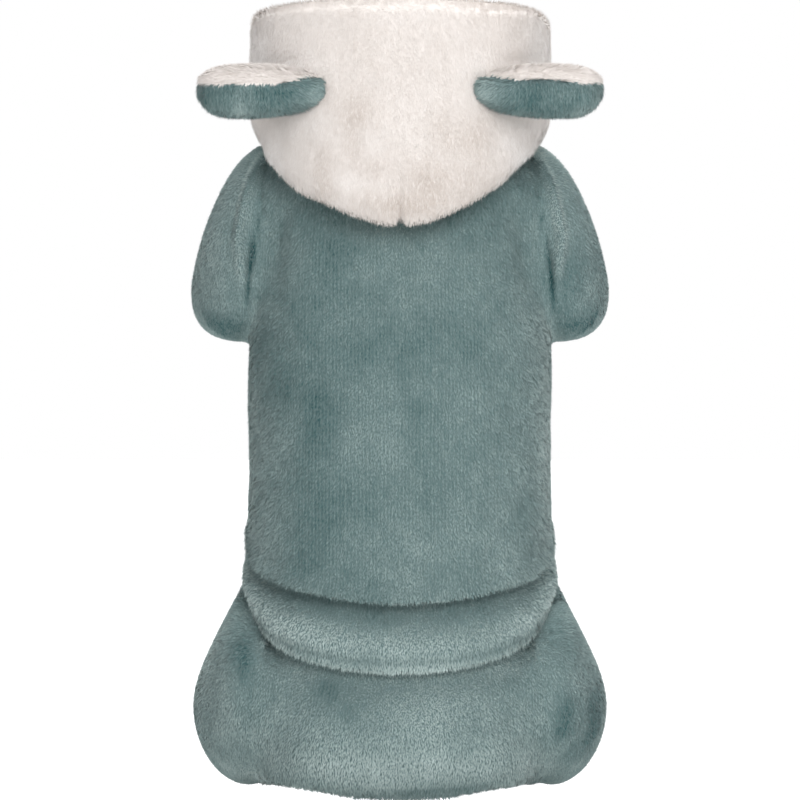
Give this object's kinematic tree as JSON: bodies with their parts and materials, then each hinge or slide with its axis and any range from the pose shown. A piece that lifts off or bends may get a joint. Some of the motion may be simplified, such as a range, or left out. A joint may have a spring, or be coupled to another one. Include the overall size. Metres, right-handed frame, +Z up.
{
  "type": "pet jumpsuit",
  "caption": "Hooded plush fleece jumpsuit for a small dog: hollow body tube, open legs, waist fold and a contrast hood with padded ears.",
  "frame": {"origin": "centre of the neck seam, where the jumpsuit sits round the wearer's neck", "axes": "+Z up towards the hood, -Y the wearer's back, +Y the belly and the four leg openings, +X the right side seen from behind"},
  "size_m": [0.2098, 0.185, 0.398],
  "materials": {
    "teal_plush": "short plush pile, matt",
    "cream_plush": "short plush pile, matt"
  },
  "bodies": {
    "root": {"back_panel": "teal_plush", "belly_panel": "teal_plush", "waist_band": "teal_plush", "seat_panel": "teal_plush", "front_sleeve_left": "teal_plush", "front_sleeve_right": "teal_plush", "hind_leg_left": "teal_plush", "hind_leg_right": "teal_plush", "hood_left": "cream_plush", "hood_right": "cream_plush", "ear_left_top": "cream_plush", "ear_right_top": "cream_plush", "ear_left_under": "teal_plush", "ear_right_under": "teal_plush"}
  },
  "joints": []
}
